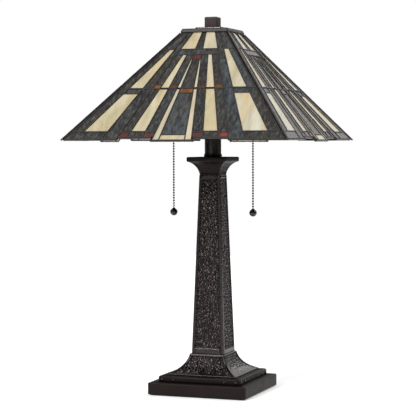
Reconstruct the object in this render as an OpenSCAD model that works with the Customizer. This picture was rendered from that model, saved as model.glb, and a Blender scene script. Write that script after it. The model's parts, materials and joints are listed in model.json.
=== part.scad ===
// Two-light table lamp with a square leaded glass shade on a tapered square column.
// Millimetres, +Z up. The origin is the middle of the underside, and -Y is the front.
// A shade panel is drawn flat, with u across it and v up its slope, and is then leaned
// inwards. Panels are numbered from the front: 0 front, 1 right, 2 back, 3 left.

/* [Lamp] */
// Height of the whole lamp, to the top of the finial
lamp_h = 635; // [630:1:645]
// Height of the bore that the supply cord enters by
inlet_z = 9; // [8.5:0.5:10]

/* [Base] */
// Width of the square plinth
plinth_w = 172.6; // [165:0.2:180]
// Height of the top of the plinth
plinth_top = 21; // [19:0.5:24]
// Width of the second, smaller tier
tier_w = 145; // [140:1:155]
// Height of the second tier
tier_h = 10.5; // [9:0.5:12]
// Half width of the flared foot at its bottom
foot_half = 61; // [58:0.5:64]
// Height of the flared foot
foot_h = 34.5; // [30:0.5:38]

/* [Column] */
// Half width of the column at its bottom
column_half = 29; // [27:0.1:30]
// Half width of the column at its top
column_top_half = 18.5; // [17:0.1:20]
// Height of the top of the column
column_top = 368; // [355:1:369]
// Height of the top of the capital
capital_top = 399; // [397:0.5:400]
// Half width of the capital at its lip
capital_half = 35; // [33:0.5:38]
// Outer radius of the neck tube
neck_r = 14; // [12:0.1:15]

/* [Shade] */
// Width of the shade at its bottom edge
shade_w = 388.2; // [380:0.2:400]
// Height of the outer bottom edge of the shade
shade_bottom = 426.5; // [425:0.5:428]
// Width across the panels, if they ran on up to the height of the rim's top
rim_w = 72.6; // [70:0.2:76]
// Height of the top of the rim
rim_top = 613.8; // [612:0.1:615]
// Thickness of the leading
lead_t = 4.6; // [4.2:0.1:5]
// Thickness of the glass
glass_t = 3; // [2.5:0.1:3.2]
// Width of a lead line between two panes
lead_w = 2.2; // [1.6:0.1:2.8]
// Radius of the rounded came on each hip
hip_r = 2.4; // [2:0.1:2.45]

/* [Light fittings] */
// Distance from the lamp's axis to each socket's axis
socket_x = 48; // [46:0.5:50]
// Height of the underside of the socket caps
socket_z = 450; // [449:0.5:451]
// Travel of each pull chain
pull_travel = 8.3; // [7:0.1:8.5]
// Number of beads on each chain
bead_count = 37; // [30:1:38]

/* [Hidden] */

$fn = 64;
eps = 0.1;

// Colours
bronze = [0.17, 0.14, 0.14];
bronze_light = [0.28, 0.24, 0.24];
steel = [0.62, 0.62, 0.64];
iron = [0.25, 0.25, 0.26];
brass = [0.72, 0.55, 0.28];
black = [0.06, 0.06, 0.07];
felt = [0.10, 0.16, 0.12];
solder = [0.13, 0.12, 0.13];
cream = [0.86, 0.80, 0.66];
grey = [0.30, 0.33, 0.35];
amber = [0.66, 0.33, 0.06];
red = [0.60, 0.10, 0.07];
fibre = [0.82, 0.78, 0.68];
opal = [0.95, 0.95, 0.93];

// Stem, nuts and washers: the stem is 1/8 IP lamp pipe
pipe_r = 5.1;
pipe_bore_r = 3.6;
pipe_hole_r = 5.25;
nut_flat = 14.3;
nut_h = 5;
washer_r = 14;
washer_t = 1.4;

// Base
pad_t = 1.5;
pad_w = plinth_w - 6;
plinth_wall = 6;
plinth_roof = 5;
plinth_edge = 1.2;
corner_r = 2.5;
weight_w = plinth_w - 2 * plinth_wall - 8;
weight_bottom = 4;
weight_roof = plinth_top - plinth_roof;
nut_pocket_h = 7.2;
nut_pocket_r = 16;
stem_bottom = 3.4;
wire_groove_w = 9;
wire_groove_top = 13;
inlet_bore_r = 3.5;
bushing_r = 5;
bushing_flange_r = 7;
bushing_flange_t = 1.5;
tier_wall = 5;
tier_roof = 4;
tier_edge = 2.5;
tier_top = plinth_top + tier_h;
rivet_r = 2.6;
rivet_rise = 1.8;
rivet_spots = [45, 65];
foot_top = tier_top + foot_h;
foot_top_half = 31.4;
foot_lean = 5.2;
foot_reach = 0.925;
foot_wall = 4;

// Column, capital and neck
column_bottom = foot_top;
column_h = column_top - column_bottom;
column_tilt = atan((column_half - column_top_half) / column_h);
column_wall = 3.6;
panel_stile = 5.6;
panel_depth = 1.2;
panel_foot = 9;
panel_head = 5;
groove_heights = [99, 151];
groove_w = 1.2;
groove_d = 0.5;
capital_foot_half = 17.7;
capital_lean = 2.3;
capital_reach = 0.975;
capital_lip = 7.5;
collar_r = 15.3;
collar_h = 5;
neck_wall = 1.3;
neck_bottom = capital_top + collar_h;
neck_top = 429;

// Cluster body and arms
cluster_flange_r = 17;
cluster_r = 15;
cluster_h = 24;
cluster_top = neck_top + cluster_h;
arm_z = neck_top + 10;
arm_bend = 9;
arm_bore_r = 3.3;
stem_top = neck_top + 9;
riser_bottom = cluster_top - 8;

// Sockets, from the underside of the cap upwards
cap_h = 16;
shell_r = 16.5;
shell_wall = 0.8;
shell_h = 39;
shell_top = socket_z + cap_h + shell_h;
liner_wall = 0.6;
liner_gap = 0.15;
switch_r = 14.6;
switch_bottom = socket_z + 9;
switch_top = socket_z + 31;
screw_bore_r = 12.85;
screw_wall = 0.5;
screw_h = 23;
contact_t = 0.5;
contact_r = 4;

// Pull lever, with the eye above its pivot at rest and as far below it when pulled
lever_pivot_x = socket_x + 4;
lever_pivot_z = socket_z + 24;
lever_len = 20;
lever_t = 1.2;
lever_half = 2.1;
lever_angle = asin(pull_travel / 2 / lever_len);
lever_slot = 2.2;
pin_r = 1;
pin_hole_r = 1.05;
pin_len = 12;
eye_r = 1.6;
eye_boss_r = 3.2;
eye_x = lever_pivot_x + lever_len * cos(lever_angle);
eye_z = lever_pivot_z + pull_travel / 2;

// Link, chain and ball
wire_r = 0.5;
ring_r = 2.4;
ring_top = eye_z - eye_r + wire_r + 0.3;
ring_z = ring_top - ring_r;
bell_r = 2.5;
bell_bore_r = 1.9;
bead_r = 1.6;
bead_pitch = 4.42;
bell_top = ring_z - ring_r + 0.2;
first_bead_z = bell_top - 1 - 0.4 - bead_r;
bell_bottom = first_bead_z - 1.9;
last_bead_z = first_bead_z - (bead_count - 1) * bead_pitch;
ball_r = 6.35;
ball_neck_r = 2.5;
ball_neck_bore_r = 1.75;
ball_neck_top = last_bead_z + 0.6;
ball_z = last_bead_z - 6.3;

// Bulbs: a small A shape with a medium screw base
bulb_bottom = switch_top + 1;
bulb_len = 88;
bulb_r = 24;
bulb_neck_r = 14;
bulb_base_r = screw_bore_r - 0.07;
bulb_base_h = 22;
bulb_wall = 1;
bulb_centre = bulb_bottom + bulb_len - bulb_r;

// Shade: the run, rise and slope of a panel's outer face
shade_half = shade_w / 2;
rim_half = rim_w / 2;
shade_run = shade_half - rim_half;
shade_rise = rim_top - shade_bottom;
slope_len = sqrt(shade_run * shade_run + shade_rise * shade_rise);
slope_deg = atan(shade_rise / shade_run);
hip_lean = shade_run / slope_len;
hip_gap = 3.4;
hip_drop = 1.6;
hip_bottom = 1.5;
glass_drop = (lead_t - glass_t) / 2;

// Layout of a panel, drawn at these sizes and fitted to the panel by its two scales
drawn_half = 194.7;
drawn_slope = 243;
fit_u = shade_half / drawn_half;
fit_v = slope_len / drawn_slope;

// Lines that fan up a panel: the half width at the bottom edge, and the lean inwards
ray_narrow_in = [22.3, 0.100];
ray_narrow_out = [34.0, 0.148];
ray_mid_in = [52.7, 0.186];
ray_mid_out = [79.8, 0.292];
ray_strip = [96.6, 0.320];
ray_big_in = [123.1, 0.407];
ray_big_out = [168.9, 0.594];
ray_top_in = [22.7, 0.083];
ray_top_out = [101.87, 0.3504];
ray_hip = [(shade_half - hip_gap * sec(hip_lean)) / fit_u, hip_lean * fit_v / fit_u];

// Levels up a panel
skirt_centre = 0;
skirt_mid = 6.5;
skirt_side = 2.5;
skirt_step_in = 37;
skirt_step_out = 94.2;
skirt_edge = 1;
level_nugget = 17;
level_bar = 19;
level_centre_bar = 12.2;
level_amber_bar = 100;
level_big_top = 99.5;
level_mid = 110;
level_low_top = 109;
level_upper = 111;
level_drop = 118.5;
level_spike = 172;
level_accent = 174;
level_row_bottom = 184.5;
level_row = 196.5;
level_top = 238.5;
spike_u = 7.6;

// Panes on one half of a panel: inner line, outer line, lower level and upper level
cream_panes = [
    [ray_narrow_in, ray_narrow_out, skirt_centre + skirt_edge, level_low_top],
    [ray_mid_in, ray_mid_out, level_bar, level_low_top],
    [ray_big_in, ray_big_out, level_bar, level_big_top],
    [ray_mid_in, ray_mid_out, level_upper, level_row_bottom],
    [ray_big_in, ray_big_out, level_upper, level_row],
    [ray_top_in, ray_top_out, level_row, level_top]
];
grey_panes = [
    [ray_narrow_out, ray_mid_in, level_nugget, level_mid],
    [ray_mid_in, ray_mid_out, skirt_mid + skirt_edge, level_bar],
    [ray_mid_out, ray_strip, level_nugget, level_mid],
    [ray_strip, ray_big_in, skirt_side + skirt_edge, level_mid],
    [ray_big_in, ray_hip, skirt_side + skirt_edge, level_bar],
    [ray_big_in, ray_big_out, level_big_top, level_mid],
    [ray_big_out, ray_hip, level_bar, level_mid],
    [ray_narrow_out, ray_mid_in, level_drop, level_row_bottom],
    [ray_mid_out, ray_strip, level_drop, level_row_bottom],
    [ray_strip, ray_big_in, level_mid, level_accent],
    [ray_big_out, ray_hip, level_mid, level_row],
    [ray_top_out, ray_big_in, level_accent, level_top],
    [ray_big_in, ray_hip, level_row, level_top]
];
amber_panes = [
    [ray_narrow_out, ray_mid_in, level_mid, level_drop],
    [ray_mid_out, ray_strip, level_mid, level_drop]
];
red_panes = [
    [ray_narrow_out, ray_mid_in, skirt_mid + skirt_edge, level_nugget],
    [ray_mid_out, ray_strip, skirt_mid + skirt_edge, level_nugget]
];

// Panes across the middle of a panel: edge line, lower level and upper level
cream_middles = [[ray_narrow_in, skirt_centre + skirt_edge, level_centre_bar]];
grey_middles = [
    [ray_narrow_in, level_centre_bar, level_amber_bar],
    [ray_narrow_in, level_mid, level_accent],
    [ray_top_out, level_row_bottom, level_row],
    [ray_top_in, level_row, level_top]
];
amber_middles = [[ray_narrow_in, level_amber_bar, level_mid]];
red_middles = [[ray_narrow_out, level_accent, level_row_bottom]];

// Rim, vase cap and the parts that hold the shade
rim_bottom = rim_top - 6.5;
rim_top_half = 40.3;
rim_low_half = rim_half + (rim_top - rim_bottom) / tan(slope_deg) + 1.3;
rim_ledge = rim_top - 2;
rim_ledge_half = 30;
rim_opening_half = 34.9;
lattice_top_z = shade_bottom + level_top * fit_v * sin(slope_deg);
cap_plate_half = 34.7;
cap_plate_bottom = rim_ledge;
cap_pad_half = 22.9;
cap_pad_top = rim_top + 3.2;
cap_hole_r = 5.4;
rest_gap = 0.1;
rest_top = cap_plate_bottom - rest_gap;
finial_half = 10.9;
finial_bottom = cap_pad_top + rest_gap;
finial_edge = 1.3;
finial_bore_r = 5.15;
riser_top = finial_bottom + 11.5;

// Length of a lean's sloping side, for each unit along the slope
function sec(lean) = sqrt(1 + lean * lean);

// Half width on a fanned line at a level
function ray_u(ray, v) = ray[0] - ray[1] * v;

// The same, moved inwards or outwards by half a lead line
function ray_edge(ray, v, way) = ray_u(ray, v) + way * lead_w / 2 * sec(ray[1]);

// Corners of a pane between two fanned lines
function pane_points(pane) =
    let (low = pane[2] + lead_w / 2, high = pane[3] - lead_w / 2)
    [
        [ray_edge(pane[0], low, 1), low],
        [ray_edge(pane[1], low, -1), low],
        [ray_edge(pane[1], high, -1), high],
        [ray_edge(pane[0], high, 1), high]
    ];

// Corners of a pane that spans the panel's middle
function middle_points(pane) =
    let (low = pane[1] + lead_w / 2, high = pane[2] - lead_w / 2,
        low_u = ray_edge(pane[0], low, -1), high_u = ray_edge(pane[0], high, -1))
    [[-low_u, low], [low_u, low], [high_u, high], [-high_u, high]];

// Corners of the pointed pane over each narrow cream pane
function spike_points() =
    let (low = level_upper + lead_w / 2)
    [
        [ray_edge(ray_narrow_in, low, 1), low],
        [ray_edge(ray_narrow_out, low, -1), low],
        [spike_u + 0.5, level_spike],
        [spike_u - 0.5, level_spike]
    ];

// Right half of a panel's outline, from the middle of the skirt to the top
function outline_half() = [
    [skirt_step_in, skirt_centre],
    [skirt_step_in, skirt_mid],
    [skirt_step_out, skirt_mid],
    [skirt_step_out, skirt_side],
    [ray_u(ray_hip, skirt_side), skirt_side],
    [ray_u(ray_hip, level_top), level_top]
];
function mirrored(points) = [for (i = [len(points) - 1 : -1 : 0]) [-points[i][0], points[i][1]]];
function outline_points() = concat(outline_half(), mirrored(outline_half()));

// A hollow curve that starts at 0, and reaches width at t = reach
function curl(reach, lean, width) = (width - lean * reach) / (1 - sqrt(1 - reach * reach));
function flare(t, reach, lean, width) =
    lean * t + curl(reach, lean, width) * (1 - sqrt(1 - t * t));

// Half profiles of the two flared pieces, as [half width, height]
flare_steps = 14;
function foot_side() = concat(
    [[foot_half, tier_top]],
    [for (i = [flare_steps : -1 : 0])
        let (t = foot_reach * i / flare_steps)
        [foot_top_half + flare(t, foot_reach, foot_lean, foot_half - foot_top_half),
            foot_top - t * foot_h]]);
function capital_side() =
    let (rise = capital_top - capital_lip - column_top,
        width = capital_half - 0.8 - capital_foot_half)
    concat(
        [for (i = [0 : flare_steps])
            let (t = capital_reach * i / flare_steps)
            [capital_foot_half + flare(t, capital_reach, capital_lean, width),
                column_top + t * rise]],
        [
            [capital_half, column_top + capital_reach * rise + 1.5],
            [capital_half, capital_top - 2],
            [capital_half - 1.4, capital_top - 0.6],
            [collar_r + 2, capital_top]
        ]);

// ---- shared shapes ----

// Square column whose four sides follow one half profile of [half width, height], drawn
// from its bottom to its top
module four_sided(side) {
    intersection() {
        both_ways(side);
        rotate([0, 0, 90]) both_ways(side);
    }
}

// The half profile and its mirror image, drawn out well past the shape's own width
module both_ways(side) {
    reach = 2 * max([for (p = side) p[0]]) + 2;
    rotate([90, 0, 0])
        translate([0, 0, -reach / 2])
            linear_extrude(height = reach) polygon(concat(side, mirrored(side)));
}

// Square with rounded corners
module soft_square(width, radius) {
    square([width, width - 2 * radius], center = true);
    square([width - 2 * radius, width], center = true);
    for (x = [-1, 1])
        for (y = [-1, 1])
            translate([x * (width / 2 - radius), y * (width / 2 - radius)]) circle(r = radius);
}

// Square slab with rounded corners and a sloped edge round its top
module slab(width, bottom, top, edge) {
    half = width / 2;
    intersection() {
        translate([0, 0, bottom])
            linear_extrude(height = top - bottom) soft_square(width, corner_r);
        four_sided([[half, bottom], [half, top - edge],
            [half - edge * 0.3, top - edge * 0.3], [half - edge, top]]);
    }
}

module box(width, bottom, top) {
    translate([0, 0, (bottom + top) / 2]) cube([width, width, top - bottom], center = true);
}

module post(radius, bottom, top) {
    translate([0, 0, bottom]) cylinder(r = radius, h = top - bottom);
}

module tube(outer, inner, bottom, top) {
    difference() {
        post(outer, bottom, top);
        post(inner, bottom - eps, top + eps);
    }
}

module nut(bottom) {
    difference() {
        translate([0, 0, bottom]) cylinder(r = nut_flat / 2 / cos(30), h = nut_h, $fn = 6);
        post(pipe_hole_r, bottom - eps, bottom + nut_h + eps);
    }
}

// Right-hand fittings are drawn, and the left-hand ones are their mirror image
module on_side(side) {
    mirror([side == "left" ? 1 : 0, 0, 0]) children();
}

module at_socket(side) {
    on_side(side) translate([socket_x, 0, 0]) children();
}

// ---- base ----

module felt_pad() {
    color(felt)
        difference() {
            linear_extrude(height = pad_t) soft_square(pad_w, corner_r);
            post(nut_pocket_r, -eps, pad_t + eps);
        }
}

module base_plinth() {
    color(bronze)
        difference() {
            slab(plinth_w, pad_t, plinth_top, plinth_edge);
            box(plinth_w - 2 * plinth_wall, pad_t - eps, plinth_top - plinth_roof);
            post(pipe_hole_r, 0, plinth_top + eps);
            translate([0, plinth_w / 2 - 2 * plinth_wall, inlet_z])
                rotate([-90, 0, 0]) cylinder(r = bushing_r + 0.05, h = 3 * plinth_wall);
        }
}

module base_weight() {
    color(iron)
        difference() {
            box(weight_w, weight_bottom, weight_roof);
            post(nut_pocket_r, weight_bottom - eps, weight_bottom + nut_pocket_h);
            post(pipe_hole_r, weight_bottom, weight_roof + eps);
            translate([-wire_groove_w / 2, 0, weight_bottom - eps])
                cube([wire_groove_w, weight_w, wire_groove_top - weight_bottom + eps]);
        }
}

module weight_washer() {
    top = weight_bottom + nut_pocket_h;
    color(steel) tube(washer_r, pipe_hole_r, top - washer_t, top);
}

module hex_nuts() {
    color(steel) {
        nut(weight_bottom + nut_pocket_h - washer_t - nut_h);
        nut(rest_top - washer_t - nut_h);
    }
}

module stem_rod() {
    color(steel) tube(pipe_r, pipe_bore_r, stem_bottom, stem_top);
}

module cord_bushing() {
    wall = plinth_wall + bushing_flange_t;
    color(black)
        translate([0, plinth_w / 2, inlet_z])
            rotate([-90, 0, 0])
                difference() {
                    union() {
                        post(bushing_r, -plinth_wall, eps);
                        post(bushing_flange_r, 0, bushing_flange_t);
                    }
                    post(inlet_bore_r, -wall, wall);
                }
}

module base_tier() {
    color(bronze)
        difference() {
            slab(tier_w, plinth_top, tier_top, tier_edge);
            box(tier_w - 2 * tier_wall, plinth_top - eps, tier_top - tier_roof);
            post(pipe_hole_r, plinth_top, tier_top + eps);
        }
}

// Two domed rivets near each end of every side
module tier_rivets() {
    ball = (rivet_r * rivet_r + rivet_rise * rivet_rise) / (2 * rivet_rise);
    color(bronze_light)
        for (k = [0 : 3])
            rotate([0, 0, 90 * k])
                for (u = concat(-rivet_spots, rivet_spots))
                    translate([u, -tier_w / 2, plinth_top + (tier_h - tier_edge) / 2 + 0.6])
                        rotate([90, 0, 0])
                            intersection() {
                                translate([0, 0, rivet_rise - ball]) sphere(r = ball);
                                post(rivet_r + 1, 0, rivet_rise + 1);
                            }
}

// Foot with four hollow-curved sides, open inside for the stem
module foot() {
    color(bronze)
        difference() {
            four_sided(foot_side());
            box(2 * (foot_top_half - foot_wall), tier_top - eps, foot_top - foot_wall);
            post(pipe_hole_r, tier_top, foot_top + eps);
        }
}

// ---- column ----

module column_shape() {
    four_sided([[column_half, column_bottom], [column_top_half, column_top]]);
}

// Puts a flat shape on one leaning face: its Y runs up the face and its Z points out of it
module on_column_face(k) {
    rotate([0, 0, 90 * k])
        translate([0, -column_half, column_bottom]) rotate([90 - column_tilt, 0, 0]) children();
}

module column_recess() {
    lean = tan(column_tilt);
    low = panel_foot;
    high = column_h - panel_head;
    low_half = column_half - panel_stile - low * lean;
    high_half = column_half - panel_stile - high * lean;
    translate([0, 0, -panel_depth])
        linear_extrude(height = panel_depth + 1)
            polygon([[-low_half, low], [low_half, low], [high_half, high], [-high_half, high]]);
}

// Column shell with a sunk panel in each face and two fine grooves across its stiles
module column() {
    color(bronze)
        difference() {
            column_shape();
            four_sided([[column_half - column_wall, column_bottom - eps],
                [column_top_half - column_wall, column_top - column_wall]]);
            post(pipe_hole_r, column_bottom, column_top + eps);
            for (k = [0 : 3])
                on_column_face(k) {
                    column_recess();
                    for (height = groove_heights)
                        translate([0, height, 0])
                            cube([3 * column_half, groove_w, 2 * groove_d], center = true);
                }
        }
}

module capital() {
    color(bronze)
        difference() {
            four_sided(capital_side());
            post(pipe_hole_r, column_top - eps, capital_top + eps);
        }
}

module neck_collar() {
    color(bronze)
        rotate_extrude()
            polygon([[pipe_hole_r, capital_top], [collar_r - 0.8, capital_top],
                [collar_r, capital_top + 1], [collar_r, neck_bottom - 1.6],
                [neck_r + 0.3, neck_bottom], [pipe_hole_r, neck_bottom]]);
}

module neck_tube() {
    color(black) tube(neck_r, neck_r - neck_wall, neck_bottom, neck_top);
}

// ---- cluster body, arms and sockets ----

module cluster_body() {
    color(bronze)
        difference() {
            rotate_extrude()
                polygon([[0, neck_top], [cluster_flange_r, neck_top],
                    [cluster_flange_r, neck_top + 2.5], [cluster_r, neck_top + 4],
                    [cluster_r, cluster_top - 6], [cluster_r - 3, cluster_top - 2],
                    [cluster_r - 7, cluster_top], [0, cluster_top]]);
            post(pipe_hole_r, neck_top - eps, cluster_top + eps);
            for (turn = [0, 180])
                rotate([0, 0, turn])
                    translate([0, 0, arm_z])
                        rotate([0, 90, 0]) cylinder(r = pipe_hole_r, h = cluster_r + 5);
        }
}

// One arm: straight out of the body, round a bend and up into the socket cap
module arm(radius) {
    start = pipe_hole_r + 4;
    bend_x = socket_x - arm_bend;
    translate([start, 0, arm_z])
        rotate([0, 90, 0]) cylinder(r = radius, h = bend_x - start);
    translate([bend_x, 0, arm_z + arm_bend])
        rotate([90, 0, 0])
            rotate([0, 0, -90])
                rotate_extrude(angle = 90) translate([arm_bend, 0]) circle(r = radius);
    translate([socket_x, 0, arm_z + arm_bend])
        cylinder(r = radius, h = socket_z + 4 - arm_z - arm_bend);
}

module socket_arms() {
    color(bronze)
        for (side = ["left", "right"])
            on_side(side) arm(pipe_r);
}

// Profile of the socket cap, moved in by its wall for the inside
module cap_profile(inset) {
    low = socket_z + inset;
    high = socket_z + cap_h;
    polygon([[0, low], [9 - inset / 2, low], [13 - inset, low + 3.5],
        [shell_r - inset, low + 9], [shell_r - inset, high + inset], [0, high + inset]]);
}

module socket_cap(side) {
    color(brass)
        at_socket(side)
            rotate_extrude()
                difference() {
                    cap_profile(0);
                    cap_profile(1);
                    translate([0, socket_z]) square([pipe_hole_r, 2]);
                }
}

// The slot that the lever swings in, cut through a socket's outer side
module lever_window(gap) {
    translate([2, -lever_slot / 2 - gap, lever_pivot_z - 7])
        cube([shell_r + 4, lever_slot + 2 * gap, 14 + gap]);
}

module socket_shell(side) {
    bottom = socket_z + cap_h;
    color(brass)
        at_socket(side)
            difference() {
                union() {
                    tube(shell_r, shell_r - shell_wall, bottom, shell_top);
                    tube(shell_r + 0.7, shell_r - shell_wall, shell_top - 2, shell_top);
                }
                lever_window(0.6);
            }
}

module socket_liner(side) {
    outer = shell_r - shell_wall - liner_gap;
    color(fibre)
        at_socket(side)
            difference() {
                tube(outer, outer - liner_wall, socket_z + cap_h, shell_top - 1);
                lever_window(0.6);
            }
}

// Insulating body that carries the lever and the screw shell
module switch_body(side) {
    color(black)
        at_socket(side)
            difference() {
                union() {
                    post(switch_r, socket_z + cap_h, switch_top);
                    post(switch_r - 4, switch_bottom, socket_z + cap_h + eps);
                }
                translate([-3, -lever_slot / 2, lever_pivot_z - 7])
                    cube([switch_r + 6, lever_slot, 12]);
                translate([lever_pivot_x - socket_x, 0, lever_pivot_z])
                    rotate([90, 0, 0]) cylinder(r = pin_r + 0.02, h = pin_len, center = true);
            }
}

// Screw shell and, at the middle of its floor, the separate centre contact
module screw_shell(side) {
    color(brass)
        at_socket(side) {
            tube(screw_bore_r + screw_wall, screw_bore_r, switch_top, switch_top + screw_h);
            post(contact_r, switch_top, switch_top + contact_t);
        }
}

module lever_pins() {
    color(steel)
        for (side = ["left", "right"])
            on_side(side)
                translate([lever_pivot_x, 0, lever_pivot_z])
                    rotate([90, 0, 0]) cylinder(r = pin_r, h = pin_len - 0.4, center = true);
}

// Flat lever, drawn along its own length with the pivot at the origin
module pull_lever(side) {
    color(steel)
        on_side(side)
            translate([lever_pivot_x, 0, lever_pivot_z])
                rotate([90, -lever_angle, 0])
                    difference() {
                        union() {
                            translate([0, -lever_half, -lever_t / 2])
                                cube([lever_len, 2 * lever_half, lever_t]);
                            cylinder(r = eye_boss_r, h = lever_t, center = true);
                            translate([lever_len, 0, 0])
                                cylinder(r = eye_boss_r, h = lever_t, center = true);
                        }
                        cylinder(r = pin_hole_r, h = 2 * lever_t, center = true);
                        translate([lever_len, 0, 0])
                            cylinder(r = eye_r, h = 2 * lever_t, center = true);
                    }
}

// ---- pull chains ----

// Wire ring through the lever's eye, with the bell that holds the top bead
module pull_link(side) {
    color(black)
        on_side(side)
            translate([eye_x, 0, 0]) {
                difference() {
                    post(bell_r, bell_bottom, bell_top);
                    post(bell_bore_r, bell_bottom - eps, bell_top - 1);
                }
                translate([0, 0, ring_z])
                    rotate([0, 90, 0])
                        rotate_extrude() translate([ring_r, 0]) circle(r = wire_r, $fn = 24);
            }
}

module pull_chain(side) {
    color(black)
        on_side(side)
            translate([eye_x, 0, 0]) {
                post(wire_r, last_bead_z, first_bead_z);
                for (i = [0 : bead_count - 1])
                    translate([0, 0, first_bead_z - i * bead_pitch])
                        sphere(r = bead_r, $fn = 24);
            }
}

module pull_ball(side) {
    color(black)
        on_side(side)
            translate([eye_x, 0, 0])
                difference() {
                    union() {
                        translate([0, 0, ball_z]) sphere(r = ball_r);
                        post(ball_neck_r, ball_z, ball_neck_top);
                    }
                    post(ball_neck_bore_r, last_bead_z - bead_r - 0.3, ball_neck_top + eps);
                }
}

// ---- bulbs ----

module bulb_base(side) {
    top = bulb_bottom + bulb_base_h;
    color(steel)
        at_socket(side)
            rotate_extrude()
                polygon([[0, bulb_bottom], [4, bulb_bottom], [9, bulb_bottom + 3],
                    [bulb_base_r, bulb_bottom + 5], [bulb_base_r, top], [0, top]]);
}

// Glass envelope: a neck that swells into the round end
module bulb_glass(side) {
    bottom = bulb_bottom + bulb_base_h;
    swell = acos(0.72);
    color(opal)
        at_socket(side)
            rotate_extrude()
                difference() {
                    bulb_outline(bottom, 0, swell);
                    bulb_outline(bottom + bulb_wall, bulb_wall, swell);
                }
}

// Half outline of the envelope: arc points from the top down, then the neck
module bulb_outline(bottom, inset, swell) {
    radius = bulb_r - inset;
    steps = 16;
    polygon(concat(
        [for (i = [0 : steps])
            let (a = 90 - i * (90 + swell) / steps)
            [radius * cos(a), bulb_centre + radius * sin(a)]],
        [
            [bulb_neck_r - inset, bottom + 12],
            [bulb_base_r - inset, bottom + 4],
            [bulb_base_r - inset, bottom],
            [0, bottom]
        ]));
}

// ---- shade ----

module on_panel(k) {
    rotate([0, 0, 90 * k])
        translate([0, -shade_half, shade_bottom])
            rotate([slope_deg, 0, 0]) scale_panel() children();
}

// Fits the drawn layout to the panel, without changing its thickness
module scale_panel() {
    multmatrix([[fit_u, 0, 0, 0], [0, fit_v, 0, 0], [0, 0, 1, 0], [0, 0, 0, 1]]) children();
}

// Both halves' panes of one glass, and those across the middle
module panes(sides, middles) {
    for (pane = sides)
        for (flip = [0, 1])
            mirror([flip, 0, 0]) polygon(pane_points(pane));
    for (pane = middles)
        polygon(middle_points(pane));
}

module spikes() {
    for (flip = [0, 1])
        mirror([flip, 0, 0]) polygon(spike_points());
}

// The leading of one panel: its outline with every pane cut out
module leading(k) {
    color(solder)
        on_panel(k)
            translate([0, 0, -lead_t])
                linear_extrude(height = lead_t)
                    difference() {
                        polygon(outline_points());
                        panes(cream_panes, cream_middles);
                        panes(grey_panes, grey_middles);
                        panes(amber_panes, amber_middles);
                        panes(red_panes, red_middles);
                        spikes();
                    }
}

module glass(k) {
    on_panel(k)
        translate([0, 0, -lead_t + glass_drop])
            linear_extrude(height = glass_t) children();
}

module cream_glass(k) {
    color(cream)
        glass(k) {
            panes(cream_panes, cream_middles);
            spikes();
        }
}

module grey_glass(k) {
    color(grey) glass(k) panes(grey_panes, grey_middles);
}

module amber_glass() {
    color(amber)
        for (k = [0 : 3])
            glass(k) panes(amber_panes, amber_middles);
}

module red_glass() {
    color(red)
        for (k = [0 : 3])
            glass(k) panes(red_panes, red_middles);
}

// A round came along each of the four hips
module hip_cames() {
    start_v = hip_bottom * fit_v;
    start = shade_half - start_v * hip_lean;
    start_z = shade_bottom + start_v * sin(slope_deg);
    length_xy = sqrt(2) * shade_run;
    tilt = atan(length_xy / shade_rise);
    drop_in = hip_drop * cos(tilt);
    drop_z = hip_drop * sin(tilt);
    length = (rim_bottom - 0.4 - hip_r * sin(tilt) - start_z + drop_z) / cos(tilt);
    color(solder)
        for (k = [0 : 3])
            rotate([0, 0, 90 * k - 45])
                translate([sqrt(2) * start - drop_in, 0, start_z - drop_z])
                    rotate([0, -tilt, 0]) cylinder(r = hip_r, h = length);
}

// Square pyramid frustum whose sides are parallel to the panels, moved out by grow
module shade_frustum(bottom, top, grow) {
    out = grow / sin(slope_deg);
    four_sided([
        [rim_half + (rim_top - bottom) / tan(slope_deg) + out, bottom],
        [rim_half + (rim_top - top) / tan(slope_deg) + out, top]
    ]);
}

// Steep band that covers the top edges of the four panels and holds the vase cap
module top_rim() {
    color(bronze)
        difference() {
            four_sided([[rim_low_half, rim_bottom], [rim_top_half, rim_top]]);
            shade_frustum(rim_bottom - eps, lattice_top_z + 0.15, 0.12);
            box(2 * rim_ledge_half, rim_bottom, rim_top + eps);
            box(2 * rim_opening_half, rim_ledge, rim_top + eps);
        }
}

module vase_cap() {
    color(bronze)
        difference() {
            union() {
                box(2 * cap_plate_half, cap_plate_bottom, rim_top + 0.1);
                four_sided([[cap_pad_half, rim_top], [cap_pad_half, cap_pad_top - 0.8],
                    [cap_pad_half - 0.8, cap_pad_top]]);
            }
            post(cap_hole_r, cap_plate_bottom - eps, cap_pad_top + eps);
        }
}

module riser_rod() {
    color(steel) post(pipe_r, riser_bottom, riser_top);
}

module shade_rest_washer() {
    color(steel) tube(washer_r, pipe_hole_r, rest_top - washer_t, rest_top);
}

// Square block tapped from below, with its top edges taken off
module finial() {
    color(bronze_light)
        difference() {
            four_sided([[finial_half, finial_bottom], [finial_half, lamp_h - finial_edge],
                [finial_half - finial_edge, lamp_h]]);
            post(finial_bore_r, finial_bottom - eps, riser_top + 0.5);
        }
}

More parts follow.
